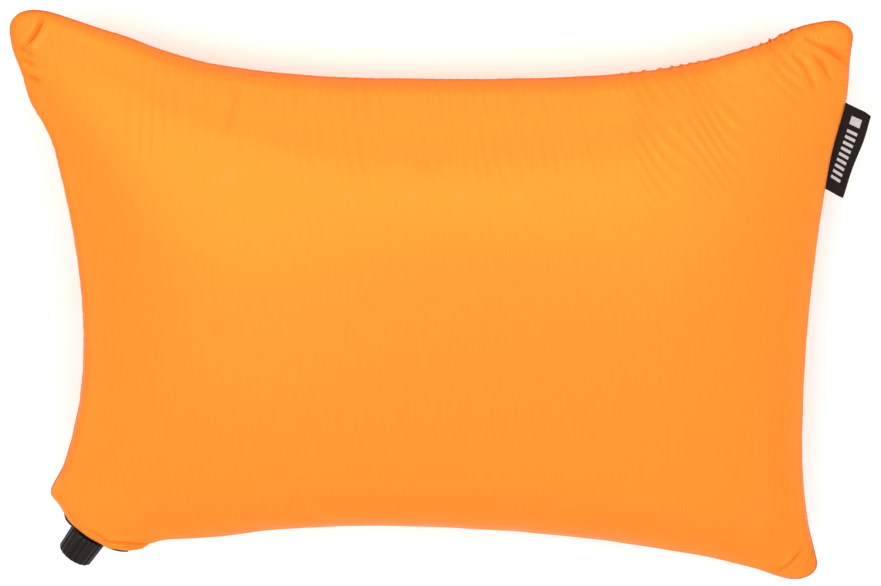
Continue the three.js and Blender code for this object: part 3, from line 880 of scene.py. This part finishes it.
def cover_panel(name, grid, seam_map, flat, side, node):
    """One panel of the cover, with its turned-in margin. Each row of whole has x, y, z, flat x and y, and
    the seam map's three values."""
    rows, columns = grid.shape[:2]
    faces = grid_faces(rows, columns, flip=side < 0)
    whole = np.dstack([grid, flat, seam_map]).reshape(rows * columns, -1)
    previous = rim_of(rows, columns)
    edge = whole[previous]
    count = len(edge)
    inwards = unit(MIDDLE - edge[:, 3:5])
    held_back = 1 - 0.3 * mouth_nearness(edge)[:, None]
    for inset, up in ((0.5 * MM, 0.15 * MM), (MARGIN, 0.25 * MM)):
        strip = edge.copy()
        strip[:, :3] += np.hstack([inwards * inset, np.full((count, 1), side * up)]) * held_back
        strip[:, 3:5] -= inwards * inset
        current = len(whole) + np.arange(count)
        quads = zip(previous, current, np.roll(current, -1), np.roll(previous, -1))
        faces += [quad if side > 0 else quad[::-1] for quad in quads]
        whole = np.concatenate([whole, strip])
        previous = current
    piece = mesh_object(name, whole[:, :3], faces, CLOTH)
    add_uv_map(piece, "cloth", whole[:, 3:5])
    add_uv_map(piece, "seam", whole[:, 5:7])
    # The fold depth, which the cloth's material turns into painted shade in the folds.
    fold = piece.data.attributes.new("fold", "FLOAT", "POINT")
    fold.data.foreach_set("value", whole[:, 7])
    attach(piece, "pillow")
    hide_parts(node)


def make_cover():
    front, back, spare = start_panels()
    blown = blow_up(front, back, spare)
    front = front + eased(blown[0] - front)
    back = back + eased(blown[1] - back)
    front, back = settle(front, back)
    flat = finer_grid(flat_grid(SEAM, ACROSS, UPWARDS), FINER)
    fine_front = sewn(finer_grid(front, FINER), flat, 1)
    fine_back = sewn(finer_grid(back, FINER), flat, -1)
    cover_panel("cover_front", *fine_front, flat, 1, "cover_front_panel")
    cover_panel("cover_back", *fine_back, flat, -1, "cover_back_panel")
    return front, back


cover_front, cover_back = make_cover()


# -------- the seam's stitches


def tube(path, radius):
    """A closed-ended tube along a path of points."""
    sides = 5
    points = []
    for spot, way in zip(path, unit(np.gradient(path, axis=0))):
        first = np.cross(way, (0.3, 0.5, 0.8))
        first /= np.linalg.norm(first)
        second = np.cross(way, first)
        for k in range(sides):
            turn = 2 * math.pi * k / sides
            points.append(spot + radius * (math.cos(turn) * first + math.sin(turn) * second))
    return points, grid_faces(len(path), sides, closed=True, flip=True) + end_faces(len(path), sides)


def make_stitches():
    """Overlock stitching: one thread wrapped over the margins all round, but not across the mouth."""
    over = [(1.2, 0.75), (3.35, 0.5), (3.35, -0.5)]
    turns = np.array(over + [(1.2, -0.75), (3.35, -0.5), (3.35, 0.5)]) * MM
    unsewn = MOUTH_HALF + 6 * MM
    steps = np.arange(int(3 * (SEAM_LENGTH - 2 * unsewn) / STITCH))
    inset, up = turns[steps % len(turns)].T
    place = SEAM_PLACE[MOUTH] + unsewn + STITCH / 3 * steps

    def on_seam(values):
        return np.interp(place, SEAM_PLACE, values, period=SEAM_LENGTH)

    x = on_seam(SEAM[:, 0]) - on_seam(SEAM_OUT[:, 0]) * inset
    y = on_seam(SEAM[:, 1]) - on_seam(SEAM_OUT[:, 1]) * inset
    path = np.column_stack([x, y, SEAM_Z + on_seam(SEAM_SWAY) + up])
    stitches = mesh_object("overlock_stitches", *tube(path, THREAD_RADIUS), THREAD)
    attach(stitches, "pillow")
    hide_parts("cover_seam_thread")


make_stitches()


# -------- inside the cover


def kept_under(grid, skin, side, gap):
    """Keeps a layer at least a gap inside the one around it."""
    surface = grid_surface(skin)
    for point in grid.reshape(-1, 3):
        hit = surface.ray_cast(Vector((point[0], point[1], SEAM_Z + side)), Vector((0, 0, -side)))[0]
        if hit:
            most = side * (hit.z - SEAM_Z) - gap
            point[2] = SEAM_Z + side * max(min(side * (point[2] - SEAM_Z), most), 0.1 * MM)
    return grid


def inner_dome(line, drop, edge, lift, skin, side):
    """A layer over one side of a line, under the skin around it."""
    columns, rows = 91, 69
    flat = flat_grid(line, columns, rows)
    rise = (CROWN - drop - edge) * swell(columns, rows) + edge + mouth_lift(flat, lift)
    grid = np.dstack([flat, SEAM_Z + side * rise])
    return kept_under(grid, skin, side, LEAST_GAP)


def bladder_side(name, node, skin, side):
    """One film of the bladder, with the flat weld round its rim."""
    weld = shrunk_line(FILM_SHRINK + WELD_SHRINK, FILM_SHRINK_AT_MOUTH + WELD_SHRINK)
    dome = inner_dome(weld, FILM_DROP, FILM_GAP, FILM_MOUTH_RISE, skin, side)
    rows, columns = dome.shape[:2]
    points = [dome.reshape(-1, 3)]
    faces = grid_faces(rows, columns, flip=side < 0)
    first = rows * columns
    count = len(SEAM) // 4
    for step in range(4):
        share = WELD_SHRINK * (1 - step / 3)
        line = shrunk_line(FILM_SHRINK + share, FILM_SHRINK_AT_MOUTH + share)[::4]
        emboss = 0.12 * MM * (step % 2)
        height = SEAM_Z + side * (FILM_GAP + emboss + mouth_lift(line, FILM_MOUTH_RISE))
        points.append(np.column_stack([line, height]))
    faces += grid_faces(4, count, first, closed=True, flip=side > 0)
    film = mesh_object(name, np.concatenate(points), faces, FILM)
    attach(film, "pillow")
    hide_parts(node)
    return dome


def foam_pad(films):
    """The foam slab: a closed, crowned pad with a thin edge."""
    line = shrunk_line(FOAM_SHRINK, FOAM_SHRINK)
    domes = [inner_dome(line, FOAM_DROP, FOAM_EDGE, 0, film, side) for film, side in zip(films, (1, -1))]
    rows, columns = domes[0].shape[:2]
    count = rows * columns
    faces = grid_faces(rows, columns) + grid_faces(rows, columns, first=count, flip=True)
    rim = rim_of(rows, columns)
    faces += [(a, count + a, count + b, b) for a, b in zip(rim, np.roll(rim, -1))]
    pad = mesh_object("foam_pad", np.concatenate([dome.reshape(-1, 3) for dome in domes]), faces, FOAM)
    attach(pad, "pillow")
    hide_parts("foam_core")


def make_bladder():
    front = bladder_side("bladder_front", "bladder_front_film", cover_front, 1)
    back = bladder_side("bladder_back", "bladder_back_film", cover_back, -1)
    foam_pad((front, back))


make_bladder()


# -------- the valve


AXIS = np.append(VALVE_OUT[:2], 0)
UP = np.array([0, 0, 1])
SIDEWAYS = np.cross(AXIS, UP)


def about_axis(radius, height, angle):
    """A point about the valve's axis; angles run right-handed from straight up."""
    return VALVE + AXIS * height + radius * (math.cos(angle) * UP + math.sin(angle) * SIDEWAYS)


def turned(profile, count, grip=None):
    """A closed body of revolution through (radius, height, share of the grip's depth) places."""
    points = []
    for radius, height, *share in profile:
        for k in range(count):
            angle = 2 * math.pi * k / count
            cut = grip(angle) * share[0] if grip and share else 0
            points.append(about_axis(radius - cut, height, angle))
    faces = grid_faces(len(profile), count, closed=True)
    last = (len(profile) - 1) * count
    faces += [(last + k, last + (k + 1) % count, (k + 1) % count, k) for k in range(count)]
    return points, faces


def thread_ridge(wall, crest, seat, start, end):
    """A helical ridge standing on a wall, as a strip with its own root, flanks and crest."""
    steps = int((end - start) * 48)
    points = []
    for k in range(steps + 1):
        turn = start + (end - start) * k / steps
        grown = min(1, 0.05 + 6 * min(turn - start, end - turn))
        tip = wall + (crest - wall) * grown
        height = seat + PITCH * turn
        for radius, up in ((wall, -0.6), (tip, -0.35), (tip, 0.35), (wall, 0.6)):
            points.append(about_axis(radius, height + up * MM, 2 * math.pi * turn))
    faces = grid_faces(steps + 1, 4, closed=True, flip=crest < wall)
    return points, faces


def joined(*bodies):
    points, faces = [], []
    for body_points, body_faces in bodies:
        faces += [tuple(len(points) + k for k in face) for face in body_faces]
        points += list(body_points)
    return points, faces


def sharpen(piece, degrees=35):
    """Smooth faces, with an edge kept wherever they meet at more than this angle."""
    bpy.context.view_layer.objects.active = piece
    piece.select_set(True)
    bpy.ops.object.shade_smooth_by_angle(angle=math.radians(degrees))
    piece.select_set(False)


def boat_flange():
    """The lens-shaped flange that the films are welded to, following the cut corner's edge."""
    along = from_mouth(SEAM)[0]
    near = np.linalg.norm(SEAM - VALVE[:2], axis=1) < 2 * BOAT_HALF
    places = [k for k in range(len(SEAM)) if near[k] and along[k] < BOAT_HALF]
    break_edge = 0.35 * MM
    points = []
    for k in places:
        half = BOAT_RISE + (BOAT_TIP - BOAT_RISE) * (along[k] / BOAT_HALF) ** 2
        top = [(-BOAT_DEPTH, half - break_edge), (-BOAT_DEPTH + break_edge, half)]
        for rib in (-7.5 * MM, -5.4 * MM, -3.3 * MM):
            top += [(rib - 0.5 * MM, half), (rib, half + 0.22 * MM), (rib + 0.5 * MM, half)]
        lapped = smoothstep(VALVE[0] - SEAM[k][0], 12 * MM, 17 * MM)  # at the end on the left
        proud = BOAT_PROUD - BOAT_LAPPED * lapped
        top += [(proud - break_edge, half), (proud, half - break_edge)]
        section = top + [(outwards, -height) for outwards, height in reversed(top)]
        for outwards, height in section:
            points.append(np.append(SEAM[k] + SEAM_OUT[k] * outwards, SEAM_Z + height))
    size = len(section)
    return points, grid_faces(len(places), size, closed=True) + end_faces(len(places), size)


def make_valve_body():
    sunk = -2 * MM
    edge = 0.4 * MM
    stem = turned(
        [
            (STEM_BORE, sunk),
            (STEM_BORE, STEM_TOP - edge),
            (STEM_BORE + edge, STEM_TOP),
            (STEM_NECK_RADIUS - edge, STEM_TOP),
            (STEM_NECK_RADIUS, STEM_TOP - edge),
            (STEM_NECK_RADIUS, STEM_SHOULDER + edge),
            (STEM_RADIUS - edge, STEM_SHOULDER),
            (STEM_RADIUS, STEM_SHOULDER - edge),
            (STEM_RADIUS, sunk),
        ],
        96,
    )
    ridge = thread_ridge(STEM_RADIUS, STEM_RADIUS + THREAD_DEPTH, THREAD_SEAT, 0, 2)
    body = mesh_object("valve_flange_and_stem", *joined(boat_flange(), stem, ridge), PLASTIC)
    sharpen(body)
    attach(body, "pillow")
    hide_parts("valve_body")


def grip_groove(angle):
    """How deep the grip is cut at an angle: broad round ribs with narrow valleys between them."""
    return GRIP_DEPTH * (1 - abs(math.sin(GRIP_RIBS * angle / 2)) ** 0.7)


def make_cap():
    """The twist cap: ribbed sides with a little taper, a rounded end, and its bore with the inner thread."""
    edge = 0.4 * MM
    outside = [(CAP_BORE + 0.3 * MM, CAP_BOTTOM, 0), (CAP_RADIUS - edge, CAP_BOTTOM, 0.5)]
    outside.append((CAP_RADIUS, CAP_BOTTOM + edge, 1))
    side_top = CAP_TOP - CAP_ROUNDING
    for k in range(1, 9):
        share = k / 8
        height = CAP_BOTTOM + edge + (side_top - CAP_BOTTOM - edge) * share
        outside.append((CAP_RADIUS - CAP_TAPER * share, height, 1))
    for k in range(1, 9):
        bend = math.pi / 2 * k / 8
        radius = CAP_RADIUS - CAP_TAPER - CAP_ROUNDING * (1 - math.cos(bend))
        outside.append((radius, side_top + CAP_ROUNDING * math.sin(bend), 1 - (k / 8) ** 2))
    end_face = [
        (7.2 * MM, CAP_TOP),
        (6.9 * MM, CAP_TOP - 0.45 * MM),
        (4.6 * MM, CAP_TOP - 0.45 * MM),
        (4.3 * MM, CAP_TOP - 0.05 * MM),
        (AIR_HOLE + 0.3 * MM, CAP_TOP - 0.05 * MM),
        (AIR_HOLE, CAP_TOP - 0.35 * MM),
        (AIR_HOLE, CAP_WALL_TOP),
    ]
    cavity = [
        (CAP_NECK_BORE, CAP_WALL_TOP),
        (CAP_NECK_BORE, GROOVE[1]),
        (GROOVE_RADIUS, GROOVE[1]),
        (GROOVE_RADIUS, GROOVE[0]),
        (CAP_BORE, GROOVE[0]),
        (CAP_BORE, CAP_BOTTOM + 0.3 * MM),
    ]
    shell = turned((outside + end_face + cavity)[::-1], 16 * GRIP_RIBS, grip_groove)
    crest = CAP_BORE - THREAD_DEPTH + 0.05 * MM
    ridge = thread_ridge(CAP_BORE, crest, THREAD_SEAT + PITCH / 2, -0.43, 0.67)
    cap = mesh_object("twist_cap", *joined(shell, ridge), PLASTIC)
    sharpen(cap, 50)
    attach(cap, "cap")
    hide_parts("valve_cap")


make_valve_body()
make_cap()


# -------- the label


def label_path():
    """The ribbon's middle line: (outwards, up) places from one tail round the fold to the other."""
    gap = 0.5 * MM
    fold = 1.2 * MM
    straight = LABEL_PROUD - fold - LABEL_PLY
    upper = []
    for k in range(25):
        share = k / 24
        outwards = -LABEL_TAIL + (straight + LABEL_TAIL) * share
        upper.append((outwards, gap + (fold - gap) * smoothstep(share, 0.3, 1)))
    bend = []
    for k in range(1, 12):
        angle = math.pi / 2 - math.pi * k / 12
        bend.append((straight + fold * math.cos(angle), fold * math.sin(angle)))
    return upper + bend + [(outwards, -up) for outwards, up in reversed(upper)]


def in_motif(along, outwards):
    """A plain woven pattern in place of lettering: a square at the upper end and a row of bars."""
    if not 5 * MM < outwards < 11 * MM:
        return False
    from_top = LABEL_LENGTH / 2 - along
    if 4.6 * MM < from_top < 9.2 * MM:
        return True
    return 12.2 * MM < from_top < 42 * MM and (from_top - 12.2 * MM) % (3.4 * MM) < 1.7 * MM


def make_label():
    path = np.array(label_path())
    direction = unit(np.gradient(path, axis=0))
    across = np.stack([-direction[:, 1], direction[:, 0]], 1) * LABEL_PLY / 2
    section = np.concatenate([path + across, (path - across)[::-1]])
    run = run_along(path)
    run = np.concatenate([run, run[::-1]])
    square = SEAM_OUT[LABEL_AT]
    outward = square * math.cos(LABEL_TURN) - np.array([-square[1], square[0]]) * math.sin(LABEL_TURN)
    seam_way = np.array([-outward[1], outward[0]])
    foot = SEAM[LABEL_AT] - outward * 0.5 * MM
    rows = 114
    points, ribbon_uv = [], []
    for j in range(rows):
        along = LABEL_LENGTH * (j / (rows - 1) - 0.5)
        towards_top = j / (rows - 1)
        wave = 0.9 * MM * math.sin(1.1 * math.pi * along / LABEL_LENGTH * 2 + 0.8)
        opening = 1 + 1.3 * towards_top**3
        for (outwards, up), distance in zip(section, run):
            hang = max(outwards, 0) / LABEL_PROUD
            reach = outwards * (1 + 0.02 * math.sin(9 * towards_top + 1) * hang)
            spot = foot + outward * reach + seam_way * (along - LABEL_SLANT * hang)
            spot += seam_way * 0.7 * MM * math.sin(math.pi * 2 * hang) * (0.5 - towards_top)
            open_up = 1 + (opening - 1) * smoothstep(hang, 0.2, 1)
            points.append((*spot, SEAM_Z + up * open_up + hang * (wave + 0.9 * MM * hang)))
            ribbon_uv.append((along, distance))
    size = len(section)
    faces = grid_faces(rows, size, closed=True, flip=True) + end_faces(rows, size, flip=True)
    label = mesh_object("label", points, faces, RIBBON)
    label.data.materials.append(MOTIF)
    label.data.materials.append(REVERSE)
    front_side = len(path) // 2
    for j in range(rows - 1):
        along = LABEL_LENGTH * ((j + 0.5) / (rows - 1) - 0.5)
        for i in range(front_side):
            if in_motif(along, (section[i][0] + section[i + 1][0]) / 2):
                label.data.polygons[j * size + i].material_index = 1
        for i in range(len(path), size - 1):
            label.data.polygons[j * size + i].material_index = 2
    add_uv_map(label, "ribbon", np.array(ribbon_uv))
    sharpen(label, 60)
    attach(label, "pillow")
    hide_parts("side_label")


make_label()


# -------- floor, light and camera


def add_floor():
    size = 6
    points = [(x, y, 0) for y in np.linspace(-size, size, 7) for x in np.linspace(-size, size, 7)]
    floor = mesh_object("floor", points, grid_faces(7, 7), FLOOR)


def add_area_light(name, place, size, power):
    target = (0, 0, 0.05)
    data = bpy.data.lights.new(name, "AREA")
    data.shape = "RECTANGLE"
    data.size, data.size_y = size
    data.energy = power
    light = add_object(name, data)
    light.location = place
    light.rotation_euler = (Vector(target) - Vector(place)).to_track_quat("-Z", "Y").to_euler()


def add_world():
    world = bpy.data.worlds.new("studio")
    world.use_nodes = True
    background = world.node_tree.nodes["Background"]
    background.inputs["Color"].default_value = (1, 1, 1, 1)
    background.inputs["Strength"].default_value = 0.62
    bpy.context.scene.world = world


def add_camera():
    """Looks down on the front panel, tilted a little towards the top edge and the valve's side."""
    tilt = math.radians(17)
    aside = math.radians(4)
    distance = 1.15
    towards = Vector((-math.sin(aside) * math.cos(tilt), math.sin(tilt), math.cos(aside) * math.cos(tilt)))
    right = (-towards).cross(Vector((0, 1, 0))).normalized()
    up = right.cross(-towards)
    off_right, off_up = 3.3, 9.5  # millimetres
    middle = Vector((*MIDDLE, SEAM_Z)) + right * off_right * MM + up * off_up * MM
    place = middle + towards * distance
    data = bpy.data.cameras.new("camera")
    data.lens = 84
    data.sensor_width = 36
    camera = add_object("camera", data)
    camera.matrix_world = Matrix.Translation(place) @ Matrix((right, up, towards)).transposed().to_4x4()
    bpy.context.scene.camera = camera


add_floor()
add_world()
add_area_light("key", (-0.5, 0.58, 2.0), (2.2, 1.3), 23)
add_area_light("band_left", (-0.6, 0.02, 2.0), (1.5, 0.36), 2.6)
add_area_light("band_right", (0.76, 0.38, 2.0), (1.5, 0.36), 7.8)
add_area_light("behind", (-0.1, 1.9, 0.6), (2.4, 0.6), 7)
add_area_light("fill", (0.2, -1.7, 1.4), (2.2, 0.8), 3)
add_camera()
bpy.context.scene.view_settings.view_transform = "Standard"

carried_over = {"valve_stopper": PLASTIC, "stopper_oring": RUBBER, "cap_oring": RUBBER}
for node, material in carried_over.items():
    frame["nodes"][node].data.materials.clear()
    frame["nodes"][node].data.materials.append(material)
